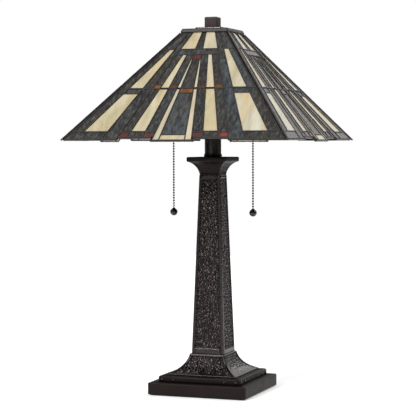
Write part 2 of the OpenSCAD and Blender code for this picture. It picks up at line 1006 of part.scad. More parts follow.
felt_pad();
base_plinth();
base_weight();
weight_washer();
hex_nuts();
stem_rod();
cord_bushing();
base_tier();
tier_rivets();
foot();
column();
capital();
neck_collar();
neck_tube();
cluster_body();
socket_arms();
socket_cap("left");  // left_socket_cap
socket_shell("left");  // left_socket_shell
socket_liner("left");  // left_socket_liner
switch_body("left");  // left_switch_body
screw_shell("left");  // left_screw_shell
pull_lever("left");  // left_pull_lever
pull_link("left");  // left_pull_link
pull_chain("left");  // left_pull_chain
pull_ball("left");  // left_pull_ball
bulb_base("left");  // left_bulb_base
bulb_glass("left");  // left_bulb_glass
socket_cap("right");  // right_socket_cap
socket_shell("right");  // right_socket_shell
socket_liner("right");  // right_socket_liner
switch_body("right");  // right_switch_body
screw_shell("right");  // right_screw_shell
pull_lever("right");  // right_pull_lever
pull_link("right");  // right_pull_link
pull_chain("right");  // right_pull_chain
pull_ball("right");  // right_pull_ball
bulb_base("right");  // right_bulb_base
bulb_glass("right");  // right_bulb_glass
lever_pins();
riser_rod();
shade_rest_washer();
leading(0);  // front_leading
leading(1);  // right_leading
leading(2);  // back_leading
leading(3);  // left_leading
cream_glass(0);  // front_cream_glass
cream_glass(1);  // right_cream_glass
cream_glass(2);  // back_cream_glass
cream_glass(3);  // left_cream_glass
grey_glass(0);  // front_grey_glass
grey_glass(1);  // right_grey_glass
grey_glass(2);  // back_grey_glass
grey_glass(3);  // left_grey_glass
amber_glass();
red_glass();
hip_cames();
top_rim();
vase_cap();
finial();
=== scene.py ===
"""Looks of the leaded glass table lamp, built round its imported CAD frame. Metres, +Z up, -Y front."""

import json
import math

import bpy
import numpy as np
from mathutils import Matrix, Vector, noise
from mathutils.bvhtree import BVHTree


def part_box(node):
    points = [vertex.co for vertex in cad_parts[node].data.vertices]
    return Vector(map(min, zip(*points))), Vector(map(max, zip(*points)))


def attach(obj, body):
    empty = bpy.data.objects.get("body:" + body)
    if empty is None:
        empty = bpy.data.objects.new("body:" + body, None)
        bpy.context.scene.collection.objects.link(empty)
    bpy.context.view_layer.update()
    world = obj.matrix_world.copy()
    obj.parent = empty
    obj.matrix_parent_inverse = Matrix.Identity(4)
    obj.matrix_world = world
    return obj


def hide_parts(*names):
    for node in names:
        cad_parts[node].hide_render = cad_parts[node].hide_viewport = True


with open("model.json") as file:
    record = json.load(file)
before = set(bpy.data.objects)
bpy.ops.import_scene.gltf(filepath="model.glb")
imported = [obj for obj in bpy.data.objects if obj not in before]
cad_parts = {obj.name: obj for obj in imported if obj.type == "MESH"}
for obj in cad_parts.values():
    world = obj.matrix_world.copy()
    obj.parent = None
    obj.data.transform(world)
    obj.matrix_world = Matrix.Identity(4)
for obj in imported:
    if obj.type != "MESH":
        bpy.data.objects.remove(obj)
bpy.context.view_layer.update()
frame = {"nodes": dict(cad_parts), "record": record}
NODES = frame["nodes"]

MM = 0.001
SIDES = ["front", "right", "back", "left"]
LEFT_RIGHT = ["left", "right"]
GLASSES = ["cream", "grey", "amber", "red"]

# -------- camera, light and floor

CAMERA_PLACE = (0.8971, -2.4697, 0.4213)
CAMERA_PITCH = math.radians(2.388)
CAMERA_TURN = math.radians(20.16)
CAMERA_ROLL = math.radians(0.12)
CAMERA_SHIFT = 0.0009
CAMERA_LENS = 133.8
SENSOR = 36.0
CAMERA_REACH = 60


def make_camera():
    data = bpy.data.cameras.new("camera")
    data.lens = CAMERA_LENS
    data.sensor_width = SENSOR
    data.shift_x = CAMERA_SHIFT
    data.clip_end = CAMERA_REACH
    camera = bpy.data.objects.new("camera", data)
    camera.location = CAMERA_PLACE
    camera.rotation_euler = (math.pi / 2 - CAMERA_PITCH, CAMERA_ROLL, CAMERA_TURN)
    bpy.context.scene.collection.objects.link(camera)
    bpy.context.scene.camera = camera


# Each sun has the way towards it, its strength, and its angular width in degrees.
SUNS = {
    "key": ((-0.5, -0.8, 1.0), 1.45, 30),
    "sparkle": ((-0.29, -0.84, 0.46), 0.8, 3),
    "side": ((0.9, 0.1, 0.75), 0.35, 6),
    "back": ((0.35, 1.0, 1.2), 0.9, 30),
}

# Each softbox has the way towards its middle, the angles off it in degrees where it starts to fade
# and where it ends, and its strength.
SOFTBOXES = [
    ((-0.15, -0.98, 0.10), 6, 32, 0.60),
    ((0.10, 0.94, 0.42), 6, 26, 1.2),
    ((0.90, 0.30, 0.60), 10, 45, 0.5),
    ((-0.90, 0.30, 0.60), 10, 45, 0.5),
    ((0, 0, 1), 20, 60, 0.7),
]
ROOM_GLOW = 0.03


def sun(name, toward, strength, width):
    """Even light from one direction, as soft as its angular width."""
    data = bpy.data.lights.new(name, "SUN")
    data.energy = strength
    data.angle = math.radians(width)
    light = bpy.data.objects.new(name, data)
    light.rotation_euler = Vector(toward).to_track_quat("Z", "Y").to_euler()
    bpy.context.scene.collection.objects.link(light)


def make_world():
    """A white backdrop for the camera. For the lamp it is a dark room with a few large soft lights."""
    world = bpy.data.worlds.new("studio")
    world.use_nodes = True
    tree = world.node_tree
    background = tree.nodes["Background"]
    place = tree.nodes.new("ShaderNodeTexCoord").outputs["Generated"]

    def softbox(toward, inner, outer, strength):
        across = tree.nodes.new("ShaderNodeVectorMath")
        across.operation = "DOT_PRODUCT"
        tree.links.new(place, across.inputs[0])
        across.inputs[1].default_value = Vector(toward).normalized()
        fade = tree.nodes.new("ShaderNodeMapRange")
        fade.interpolation_type = "SMOOTHSTEP"
        tree.links.new(across.outputs["Value"], fade.inputs["Value"])
        fade.inputs["From Min"].default_value = math.cos(math.radians(outer))
        fade.inputs["From Max"].default_value = math.cos(math.radians(inner))
        fade.inputs["To Max"].default_value = strength
        return fade.outputs[0]

    def maths(kind, first, second):
        node = tree.nodes.new("ShaderNodeMath")
        node.operation = kind
        tree.links.new(first, node.inputs[0])
        if isinstance(second, float):
            node.inputs[1].default_value = second
        else:
            tree.links.new(second, node.inputs[1])
        return node.outputs[0]

    front, *others = [softbox(*box) for box in SOFTBOXES]
    glow = maths("ADD", front, ROOM_GLOW)
    for light in others:
        glow = maths("ADD", glow, light)
    seen = tree.nodes.new("ShaderNodeLightPath").outputs["Is Camera Ray"]
    tree.links.new(maths("MAXIMUM", glow, seen), background.inputs["Strength"])
    background.inputs["Color"].default_value = (1, 1, 1, 1)
    bpy.context.scene.world = world


def make_lights():
    for name, (toward, strength, width) in SUNS.items():
        sun(name, toward, strength, width)
    make_world()
    bpy.context.scene.view_settings.view_transform = "Standard"


FLOOR_SIZE = 6
FLOOR_DROP = 0.2 * MM


def make_floor():
    bpy.ops.mesh.primitive_plane_add(size=FLOOR_SIZE, location=(0, 0, -FLOOR_DROP))
    floor = bpy.context.object
    floor.name = "studio_floor"
    floor.data.materials.append(floor_white())


# -------- materials

# Scales of the noise in each finish, and how deep its finest bumps are.
PAINT_CLOUDS, PAINT_GRAIN = 60.0, 900.0
BRONZE_CLOUDS, BRONZE_SPECKS, BRONZE_DEPTH = 22.0, 420.0, 0.05 * MM
PATINA_CLOUDS, PATINA_GRAIN, PATINA_DEPTH = 70.0, 500.0, 0.12 * MM
FROST_GRAIN, FROST_DEPTH = 900.0, 0.04 * MM
GLASS_WAVES, GLASS_STREAKS, GLASS_FLECKS, GLASS_GRAIN = 60.0, 24.0, 260.0, 230.0

# How far each glass pattern is drawn out up the panel.
WAVE_STRETCH = (1.0, 0.24, 1.0)
FLECK_STRETCH = (1.0, 0.38, 1.0)
GRAIN_STRETCH = (1.0, 0.45, 1.0)


class Nodes:
    """A short way to write a material's nodes. add() takes a node's type, its settings, and its
    inputs by name, or as i0, i1 and so on where a name stands for several."""

    def __init__(self, name):
        self.material = bpy.data.materials.new(name)
        self.material.use_nodes = True
        self.tree = self.material.node_tree
        self.shader = self.tree.nodes["Principled BSDF"]

    def add(self, kind, settings=None, **inputs):
        node = self.tree.nodes.new("ShaderNode" + kind)
        for key, value in (settings or {}).items():
            setattr(node, key, value)
        for key, value in inputs.items():
            self.put(node, key, value)
        return node

    def put(self, node, key, value):
        name = key.replace("_", " ")
        numbered = key[0] == "i" and key[1:].isdigit()
        socket = node.inputs[int(key[1:])] if numbered else node.inputs[name]
        if isinstance(value, bpy.types.NodeSocket):
            self.tree.links.new(value, socket)
        else:
            socket.default_value = value

    def mix(self, factor, first, second):
        node = self.tree.nodes.new("ShaderNodeMix")
        node.data_type = "RGBA"
        self.put(node, "i0", factor)
        self.put(node, "i6", first)
        self.put(node, "i7", second)
        return node.outputs[2]

    def maths(self, kind, first, second):
        return self.add("Math", {"operation": kind}, i0=first, i1=second).outputs[0]

    def noise(self, place, scale, detail, **more):
        return self.add("TexNoise", Vector=place, Scale=scale, Detail=detail, **more).outputs[0]

    def stretched(self, place, scale):
        return self.add("Mapping", Vector=place, Scale=scale).outputs[0]

    def object_place(self):
        return self.add("TexCoord").outputs["Object"]

    def point_value(self, name):
        return self.add("Attribute", {"attribute_name": name}).outputs["Fac"]

    def span(self, value, low, high, to_low=0.0, to_high=1.0):
        limits = {"From_Min": low, "From_Max": high, "To_Min": to_low, "To_Max": to_high}
        return self.add("MapRange", Value=value, **limits).outputs[0]

    def bump(self, height, distance):
        return self.add("Bump", Height=height, Distance=distance, Strength=1.0).outputs[0]

    def set(self, **inputs):
        for key, value in inputs.items():
            self.put(self.shader, key, value)


def rgb(colour, factor=1.0):
    """A colour for a socket, made lighter or darker by a factor."""
    return (*(c * factor for c in colour), 1.0)


def floor_white():
    """White paper, lifted a little so that the lamp's shadow stays faint."""
    n = Nodes("floor_white")
    n.set(Base_Color=rgb((0.86, 0.86, 0.86)), Roughness=0.95, Specular_IOR_Level=0.0,
          Emission_Color=rgb((1, 1, 1)), Emission_Strength=0.25)
    return n.material


def paint(name, colour, roughness, specular=0.5, grain=0.0, metallic=0.0):
    """A plain finish with slight unevenness of tone and gloss. grain is how deep its bumps are."""
    n = Nodes(name)
    place = n.object_place()
    tone = n.noise(place, PAINT_CLOUDS, 4.0)
    n.set(
        Base_Color=n.mix(n.span(tone, 0.3, 0.7), rgb(colour, 0.86), rgb(colour, 1.1)),
        Roughness=n.span(tone, 0.3, 0.7, roughness * 0.88, min(1, roughness * 1.12)),
        Metallic=metallic,
        Specular_IOR_Level=specular,
    )
    if grain:
        n.set(Normal=n.bump(n.noise(place, PAINT_GRAIN, 3.0), grain))
    return n.material


def bronze(name, colour, wear_and_highlight_colour, roughness, specular, wear_and_highlight_amount=1.0):
    """Dark bronze paint on a casting: nearly black in the hollows, paler on sharp edges and high
    places, partly as wear and partly as painted highlight.
    The points' crest value is 1 on a pale crest and -1 in a valley or in painted shade."""
    n = Nodes(name)
    place = n.object_place()
    cloud = n.noise(place, BRONZE_CLOUDS, 5.0, Roughness=0.6)
    speck = n.noise(place, BRONZE_SPECKS, 3.0)
    edge = n.add("NewGeometry").outputs["Pointiness"]
    crest = n.point_value("crest")
    # sharp edges and crests turn pale: partly wear, partly painted highlight
    high = n.maths("MAXIMUM", n.span(edge, 0.53, 0.75), crest)
    wear_and_highlight = n.maths("MULTIPLY", high, n.span(speck, 0.35, 0.65, 0.3, 1.0))
    base = n.mix(n.span(cloud, 0.35, 0.68), rgb(colour, 0.8), rgb(colour, 1.25))
    base = n.mix(n.span(crest, 0.0, -1.0), base, rgb(colour, 0.1))
    n.set(
        Base_Color=n.mix(n.maths("MULTIPLY", wear_and_highlight, wear_and_highlight_amount), base, rgb(wear_and_highlight_colour)),
        Roughness=n.span(cloud, 0.3, 0.7, roughness * 0.85, roughness * 1.15),
        Specular_IOR_Level=specular,
        Specular_Tint=rgb((1.0, 0.84, 0.82)),
        Normal=n.bump(speck, BRONZE_DEPTH),
    )
    return n.material


def patina():
    """Solder with a dark chemical patina: nearly black, with brown and grey showing through."""
    n = Nodes("dark_patina_solder")
    place = n.object_place()
    cloud = n.noise(place, PATINA_CLOUDS, 5.0, Roughness=0.65)
    fine = n.noise(place, PATINA_GRAIN, 2.0)
    black, brown = rgb((0.012, 0.010, 0.011)), rgb((0.040, 0.031, 0.027))
    n.set(
        Base_Color=n.mix(n.span(cloud, 0.35, 0.7), black, brown),
        Roughness=n.span(cloud, 0.3, 0.7, 0.34, 0.55),
        Specular_IOR_Level=0.35,
        Metallic=0.15,
        Normal=n.bump(fine, PATINA_DEPTH),
    )
    return n.material


def own_sheet_place(n, own):
    """Place on a pane's own piece of the glass sheet, from the panel map that the panes carry."""
    place = n.add("UVMap", {"uv_map": "panel"}).outputs[0]
    across, up = n.maths("MULTIPLY", own, 3.1), n.maths("MULTIPLY", own, 1.7)
    shift = n.add("CombineXYZ", X=across, Y=up, Z=own).outputs[0]
    return n.add("VectorMath", {"operation": "ADD"}, i0=place, i1=shift).outputs[0]


def art_glass(name, tones, streak, ripple, roughness, mottle=0.0):
    """Streaky sheet glass from (dark, light) pairs of tones. Each pane's own number picks its pair
    and its piece of the sheet."""
    n = Nodes(name)
    own = n.point_value("own")
    sheet = own_sheet_place(n, own)
    along = n.stretched(sheet, WAVE_STRETCH)
    wave = n.noise(along, GLASS_WAVES, 5.0, Roughness=0.6, Distortion=0.8)
    broad = n.noise(along, GLASS_STREAKS, 4.0, Distortion=0.6)
    factor = n.span(wave, 0.36, 0.64)
    colour = n.mix(factor, rgb(tones[0][0]), rgb(tones[0][1]))
    for i, (dark, light) in enumerate(tones[1:], 1):
        edge = i / len(tones)
        other = n.mix(factor, rgb(dark), rgb(light))
        colour = n.mix(n.span(own, edge - 0.02, edge + 0.02), colour, other)
    colour = n.mix(n.maths("MULTIPLY", n.span(broad, 0.50, 0.70), 0.7), colour, rgb(streak))
    if mottle:
        spot = n.noise(n.stretched(sheet, FLECK_STRETCH), GLASS_FLECKS, 4.0, Roughness=0.55)
        bright, dim = rgb(tones[0][1], 2.3), rgb(tones[0][0], 0.35)
        colour = n.mix(n.maths("MULTIPLY", n.span(spot, 0.52, 0.68), mottle), colour, bright)
        colour = n.mix(n.maths("MULTIPLY", n.span(spot, 0.46, 0.34), mottle), colour, dim)
    grain = n.noise(n.stretched(sheet, GRAIN_STRETCH), GLASS_GRAIN, 4.0)
    n.set(
        Base_Color=colour,
        Roughness=n.span(wave, 0.3, 0.7, roughness * 0.8, roughness * 1.25),
        Specular_IOR_Level=0.27,
        Normal=n.bump(grain, ripple),
    )
    return n.material


def frosted_glass():
    n = Nodes("frosted_bulb_glass")
    tone = n.noise(n.object_place(), FROST_GRAIN, 2.0)
    n.set(
        Base_Color=n.mix(tone, rgb((0.80, 0.79, 0.76)), rgb((0.88, 0.87, 0.85))),
        Roughness=0.4,
        Subsurface_Weight=0.3,
        Subsurface_Radius=(0.01, 0.01, 0.01),
        Normal=n.bump(tone, FROST_DEPTH),
    )
    return n.material


MATERIALS = {
    "bronze": bronze(
        "dark_bronze_casting", (0.0040, 0.0022, 0.0021), (0.27, 0.24, 0.235), 0.19, 0.32),
    "smooth_bronze": bronze(
        "dark_bronze_slab", (0.0082, 0.0048, 0.0046), (0.034, 0.024, 0.023), 0.50, 0.20, 0.8),
    "rivet_bronze": bronze(
        "near_black_rivets", (0.0020, 0.0015, 0.0015), (0.060, 0.050, 0.048), 0.16, 0.7),
    "finial_bronze": bronze(
        "brown_bronze", (0.052, 0.037, 0.037), (0.10, 0.08, 0.075), 0.5, 0.35, 0.6),
    "neck": paint("black_lacquer_tube", (0.007, 0.0035, 0.003), 0.20, specular=0.5),
    "leading": patina(),
    "cream_glass": art_glass(
        "cream_opal_glass",
        [((0.44, 0.385, 0.235), (0.60, 0.555, 0.415)),
         ((0.45, 0.38, 0.225), (0.59, 0.53, 0.365)),
         ((0.44, 0.395, 0.275), (0.60, 0.575, 0.46))],
        (0.60, 0.45, 0.23), 0.00014, 0.22),
    "grey_glass": art_glass(
        "charcoal_ripple_glass",
        [((0.009, 0.0095, 0.0090), (0.038, 0.039, 0.037)),
         ((0.014, 0.012, 0.009), (0.042, 0.038, 0.030)),
         ((0.008, 0.0085, 0.0085), (0.034, 0.036, 0.036)),
         ((0.020, 0.025, 0.029), (0.060, 0.072, 0.080))],
        (0.036, 0.022, 0.014), 0.00110, 0.24, 0.8),
    "amber_glass": art_glass(
        "amber_glass",
        [((0.050, 0.014, 0.003), (0.150, 0.050, 0.008)),
         ((0.08, 0.026, 0.004), (0.24, 0.085, 0.010))],
        (0.04, 0.015, 0.006), 0.00030, 0.2),
    "red_glass": art_glass(
        "red_glass",
        [((0.055, 0.012, 0.007), (0.14, 0.028, 0.014)),
         ((0.09, 0.014, 0.008), (0.26, 0.034, 0.018))],
        (0.045, 0.01, 0.008), 0.00030, 0.2),
    "chain_black": paint("black_plated_chain", (0.002, 0.002, 0.002), 0.10, specular=0.6),
    "brass": paint("satin_brass", (0.58, 0.40, 0.16), 0.32, metallic=1.0, grain=0.00002),
    "nickel": paint("nickel_screw_base", (0.62, 0.61, 0.59), 0.28, metallic=1.0),
    "bulb_glass": frosted_glass(),
    "fibre": paint("pressed_fibre", (0.50, 0.40, 0.25), 0.85, specular=0.2, grain=0.0001),
    "black_plastic": paint("black_moulding", (0.018, 0.018, 0.019), 0.5, grain=0.00003),
    "steel": paint("zinc_plated_steel", (0.55, 0.55, 0.56), 0.34, metallic=1.0, grain=0.00002),
    "iron": paint("rough_cast_iron", (0.055, 0.055, 0.057), 0.75, grain=0.0003),
    "felt": paint("dark_felt", (0.025, 0.032, 0.028), 0.98, specular=0.05, grain=0.0004),
}

# -------- mesh helpers


def box(node):
    """Lowest and highest corners of a CAD node at rest."""
    return [Vector(corner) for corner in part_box(node)]


class Build:
    """Points and faces of one piece, gathered from several shapes."""

    def __init__(self):
        self.points = []
        self.faces = []
        self.crests = []

    def add(self, points, faces, crests=None, move=None):
        start = len(self.points)
        self.crests += crests or [0.0] * len(points)
        self.points += [move @ Vector(p) if move else Vector(p) for p in points]
        self.faces += [tuple(start + i for i in face) for face in faces]

    def piece(self, name, material, body, slot, sharp=None):
        """A new smooth piece on a CAD body. Edges steeper than sharp, in degrees, stay crisp."""
        mesh = bpy.data.meshes.new(name)
        mesh.from_pydata([tuple(p) for p in self.points], [], self.faces)
        mesh.validate()
        mesh.materials.append(MATERIALS[material])
        for polygon in mesh.polygons:
            polygon.use_smooth = True
        piece = bpy.data.objects.new(name, mesh)
        bpy.context.scene.collection.objects.link(piece)
        if sharp:
            with bpy.context.temp_override(object=piece, active_object=piece, selected_objects=[piece],
                                           selected_editable_objects=[piece]):
                bpy.ops.object.shade_smooth_by_angle(angle=math.radians(sharp))
        if any(self.crests):
            crest = mesh.attributes.new("crest", "FLOAT", "POINT")
            crest.data.foreach_set("value", self.crests)
        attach(piece, body)
        return piece


def one_piece(shape, name, material, body, slot, sharp=None, move=None):
    """A piece made of a single shape."""
    build = Build()
    build.add(*shape, move=move)
    return build.piece(name, material, body, slot, sharp)


def ring_faces(rows, columns, closed_rows=False):
    """Quads of a tube of rows of points. Each row runs round anticlockwise, seen from above."""
    faces = []
    for r in range(rows if closed_rows else rows - 1):
        for c in range(columns):
            a, b = r * columns + c, r * columns + (c + 1) % columns
            up = (r + 1) % rows * columns
            faces.append((a, b, up + (c + 1) % columns, up + c))
    return faces


def capped_faces(rows, columns):
    """Faces of a tube of rows of points with both its ends closed."""
    bottom = tuple(range(columns))
    return ring_faces(rows, columns) + [bottom[::-1], tuple((rows - 1) * columns + i for i in bottom)]


def lathe(profile, steps, twist=None):
    """Closed solid turned about Z from [radius, height] points that run upwards along its outside.
    twist(angle, height) adds to a radius."""
    points = []
    for radius, height in profile:
        for i in range(steps):
            angle = 2 * math.pi * i / steps
            r = radius + (twist(angle, height) if twist else 0)
            points.append((r * math.cos(angle), r * math.sin(angle), height))
    return points, capped_faces(len(profile), steps)


def arc(centre, radius, start, end, steps):
    """Points on an arc in a profile, with angles in degrees."""
    x, z = centre
    turns = [math.radians(start + (end - start) * i / steps) for i in range(steps + 1)]
    return [(x + radius * math.cos(t), z + radius * math.sin(t)) for t in turns]


def straight_path(start, end, spacing):
    """Even steps from start to end."""
    steps = max(1, round((end - start).length / spacing))
    return [start.lerp(end, i / steps) for i in range(steps + 1)]


def sweep(path, radius, steps, wobble):
    """Tube along a path with flat ends, a little lumpy by wobble."""
    points = []
    count = len(path)
    for i, place in enumerate(path):
        along = (path[min(i + 1, count - 1)] - path[max(i - 1, 0)]).normalized()
        side = along.cross(Vector((0, 0, 1))).normalized()
        rise = side.cross(along).normalized()
        lump = 1 + wobble * noise.noise(place * HIP_LUMPS)
        for s in range(steps):
            a = 2 * math.pi * s / steps
            points.append(place + (side * math.cos(a) * radius + rise * math.sin(a) * radius) * lump)
    return points, capped_faces(count, steps)


def inset(half, top, *steps):
    """Points of an outline, each given in mm as how far it is inside half and below top."""
    return [(half - inside * MM, top - below * MM) for inside, below in steps]


def spread(low, high, spacing):
    """Even steps from low to high, without the ends."""
    count = max(2, round((high - low) / spacing))
    return [low + (high - low) * i / count for i in range(1, count)]


def tower(rows, corner, columns, relief):
    """Closed solid of square rows of [half width, height], with rounded corners.
    columns gives a row's places across one face for its half width. relief(face, x, half, height)
    says how far a point stands out of its face, and its crest value: paler for wear, painted highlight
    and painted sheen, darker in valleys, in painted edge shade and in darker tones."""
    points, crests = [], []
    for half, height in rows:
        for face in range(4):
            turn = Matrix.Rotation(face * math.pi / 2, 3, "Z")
            for x in columns(half):
                inside = max(0.0, abs(x) - (half - corner))
                pull = corner - math.sqrt(max(0.0, corner ** 2 - min(inside, corner) ** 2))
                raised, crest = relief(face, x, half, height)
                points.append(turn @ Vector((x, pull - half - raised, height)))
                crests.append(crest)
    return points, capped_faces(len(rows), len(points) // len(rows)), crests


# -------- shade panels


MICRON = 1e-6


def outer_normal(node):
    """The direction of a node's largest face that looks up and out."""
    rising = [p for p in NODES[node].data.polygons if p.normal.z > 0.3]
    return max(rising, key=lambda p: p.area).normal.copy()


def panel_frames():
    """Each side's matrix from panel places (across, up the slope, out of the face) to the world."""
    frames = []
    for k, side in enumerate(SIDES):
        out = outer_normal(side + "_cream_glass")
        low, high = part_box(side + "_leading")
        centre = (Vector(low) + Vector(high)) / 2
        across = Vector((math.cos(k * math.pi / 2), math.sin(k * math.pi / 2), 0))
        up = out.cross(across).normalized()
        mesh = NODES[side + "_leading"].data
        outward = max(v.co.dot(out) for v in mesh.vertices)
        floor = min(v.co.dot(up) for v in mesh.vertices)
        origin = out * outward + up * floor
        origin += across * (centre.dot(across) - origin.dot(across))
        turn = Matrix((across, up, out)).transposed().to_4x4()
        frames.append(Matrix.Translation(origin) @ turn)
    return frames


PANELS = panel_frames()


def faces_out(mesh, out):
    """The faces of a panel's mesh that look straight out of it."""
    return [p for p in mesh.polygons if p.normal.dot(out) > 0.99]


def whole_microns(place):
    return tuple(round(c / MICRON) for c in place)


def panes_of(node, matrix):
    """Outlines of a glass node's panes on one panel, as corner lists in panel places."""
    mesh = NODES[node].data
    out = matrix.col[2].to_3d()
    back = matrix.inverted()
    parent = {}

    def find(a):
        while parent[a] != a:
            a = parent[a]
        return a

    places = {}
    for polygon in faces_out(mesh, out):
        keys = [whole_microns(mesh.vertices[v].co) for v in polygon.vertices]
        for k, v in zip(keys, polygon.vertices):
            parent.setdefault(k, k)
            places[k] = back @ mesh.vertices[v].co
        for k in keys[1:]:
            parent[find(k)] = find(keys[0])
    groups = {}
    for k in parent:
        groups.setdefault(find(k), []).append(places[k])
    panes = []
    for corners in groups.values():
        middle = sum(corners, Vector()) / len(corners)
        corners.sort(key=lambda c: math.atan2(c.y - middle.y, c.x - middle.x))
        panes.append(corners)
    panes.sort(key=lambda c: (round(sum(p.y for p in c) / len(c), 4), round(sum(p.x for p in c), 4)))
    return panes


def grown(corners, distance):
    """A convex outline with every side moved outwards."""
    count = len(corners)
    lines = []
    for i in range(count):
        a, b = corners[i], corners[(i + 1) % count]
        along = Vector((b.x - a.x, b.y - a.y)).normalized()
        out = Vector((along.y, -along.x))
        lines.append((Vector((a.x, a.y)) + out * distance, along))
    result = []
    for i in range(count):
        (p, d), (q, e) = lines[i - 1], lines[i]
        cross = d.x * e.y - d.y * e.x
        t = ((q.x - p.x) * e.y - (q.y - p.y) * e.x) / cross
        result.append(Vector((p.x + d.x * t, p.y + d.y * t, 0)))
    return result


def quad_grid(corners, spacing):
    """Rows of points over a four-cornered outline, starting at its lowest left corner."""
    order = sorted(range(4), key=lambda i: (corners[i].y, corners[i].x))
    low = sorted(order[:2], key=lambda i: corners[i].x)
    high = sorted(order[2:], key=lambda i: corners[i].x)
    a, b, d, c = corners[low[0]], corners[low[1]], corners[high[0]], corners[high[1]]
    wide = max((b - a).length, (c - d).length)
    tall = max((d - a).length, (c - b).length)
    nu, nv = max(2, round(wide / spacing)), max(2, round(tall / spacing))
    rows = []
    for j in range(nv + 1):
        left, right = a.lerp(d, j / nv), b.lerp(c, j / nv)
        rows.append([left.lerp(right, i / nu) for i in range(nu + 1)])
    return rows


# The glass lies between GLASS_FACE and GLASS_BACK, below the panel's outer plane, and runs
# GLASS_TUCK under the leading. RIPPLE is how deep each glass's ripples are.
GLASS_TUCK = 0.6 * MM
GLASS_FACE = -0.8 * MM
GLASS_BACK = -3.8 * MM
RIPPLE = {"cream": 0.05 * MM, "grey": 0.20 * MM, "amber": 0.12 * MM, "red": 0.12 * MM}
RIPPLE_SPACING = 2.6 * MM
SWELL = (230, 110)
CHOP = (520, 300)


def pane_mesh(corners, seed, depth):
    """One pane: a rippled front, a flatter back and plain sides."""
    rows = quad_grid(corners, RIPPLE_SPACING)
    nv, nu = len(rows), len(rows[0])
    points, faces = [], []
    for level, amount in ((GLASS_FACE, depth), (GLASS_BACK, depth * 0.5)):
        for row in rows:
            for p in row:
                wave = noise.noise(Vector((p.x * SWELL[0], p.y * SWELL[1], seed * 7.3)))
                wave += 0.5 * noise.noise(Vector((p.x * CHOP[0], p.y * CHOP[1], seed * 3.1 + 40)))
                points.append((p.x, p.y, level + amount * wave))
    back = nu * nv
    for j in range(nv - 1):
        for i in range(nu - 1):
            a = j * nu + i
            faces.append((a, a + 1, a + nu + 1, a + nu))
            faces.append((back + a, back + a + nu, back + a + nu + 1, back + a + 1))
    edge = list(range(nu))
    edge += [j * nu + nu - 1 for j in range(1, nv)]
    edge += [(nv - 1) * nu + i for i in range(nu - 2, -1, -1)]
    edge += [j * nu for j in range(nv - 2, 0, -1)]
    for i, a in enumerate(edge):
        b = edge[(i + 1) % len(edge)]
        faces.append((b, a, back + a, back + b))
    return points, faces


def make_panes(name, sides, nodes, glass):
    """All panes of one glass on some panels, with a panel map and each pane's own number."""
    build = Build()
    places, numbers = [], []
    rng = np.random.default_rng(sum(map(ord, name)))
    for k, node in zip(sides, nodes):
        for corners in panes_of(node, PANELS[k]):
            own = float(rng.random())
            seed = float(rng.random()) * 20
            points, faces = pane_mesh(grown(corners, GLASS_TUCK), seed, RIPPLE[glass])
            build.add(points, faces, move=PANELS[k])
            places += [(p[0] + k, p[1]) for p in points]
            numbers += [own] * len(points)
    piece = build.piece(name, glass + "_glass", "shade", glass + "_glass", sharp=50)
    layer = piece.data.uv_layers.new(name="panel")
    for loop in piece.data.loops:
        layer.data[loop.index].uv = places[loop.vertex_index]
    own_layer = piece.data.attributes.new("own", "FLOAT", "POINT")
    own_layer.data.foreach_set("value", numbers)
    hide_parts(*sorted(set(nodes)))


# How many lumps a metre of hand-run solder has, on the hips, between the panes and at the edge.
HIP_LUMPS, BEAD_LUMPS, EDGE_LUMPS = 160, 150, 140

# Solder between panes: half its width, and how far each pane's ring overlaps the next, its rise
# above the panel's plane, its back, how far it sinks into the glass, and the spacing and the
# angles that its bead is drawn with.
LEAD_HALF = 1.1 * MM
LEAD_OVERLAP = 1.04
LEAD_RISE = 0.45 * MM
LEAD_BACK = -4.6 * MM
LEAD_BITE = 0.25 * MM
LEAD_STEP = 4.0 * MM
BEAD_TURNS = [0, 22, 45, 68, 90]

# The bead round a panel's outline: its middle's distance inside it, half width and half depth.
EDGE_INSET = 1.15 * MM
EDGE_HALF_WIDTH = 1.35 * MM
EDGE_HALF_DEPTH = 2.55 * MM
EDGE_STEP = 5 * MM
EDGE_SIDES = 10


def lead_height(x, y):
    """Crest of the solder bead: a hand-run bead is never quite level."""
    lumps = noise.noise(Vector((x * BEAD_LUMPS, y * BEAD_LUMPS, 5)))
    return LEAD_RISE * (0.75 + 0.6 * lumps)


def lead_ring(corners):
    """The solder round one pane: a closed ring whose outside meets its neighbours' rings."""
    outer = grown(corners, LEAD_HALF * LEAD_OVERLAP)
    inner = [Vector((c.x, c.y, 0)) for c in corners]
    loop_in, loop_out = [], []
    count = len(corners)
    for i in range(count):
        steps = max(1, round((outer[(i + 1) % count] - outer[i]).length / LEAD_STEP))
        for s in range(steps):
            loop_in.append(inner[i].lerp(inner[(i + 1) % count], s / steps))
            loop_out.append(outer[i].lerp(outer[(i + 1) % count], s / steps))
    bead = [(1 - math.cos(math.radians(t)), math.sin(math.radians(t))) for t in BEAD_TURNS]
    points = []
    for out_part, rise_part in bead:
        for a, b in zip(loop_in, loop_out):
            p = a.lerp(b, out_part)
            low, crest = GLASS_FACE - LEAD_BITE, lead_height(b.x, b.y)
            points.append((p.x, p.y, low + (crest - low) * rise_part))
    for out_part, rise_part in reversed(bead):
        for a, b in zip(loop_in, loop_out):
            p = a.lerp(b, out_part)
            low, crest = GLASS_BACK + LEAD_BITE, LEAD_BACK - lead_height(b.x + 1, b.y) * 0.5
            points.append((p.x, p.y, low + (crest - low) * rise_part))
    return points, ring_faces(2 * len(bead), len(loop_in), closed_rows=True)


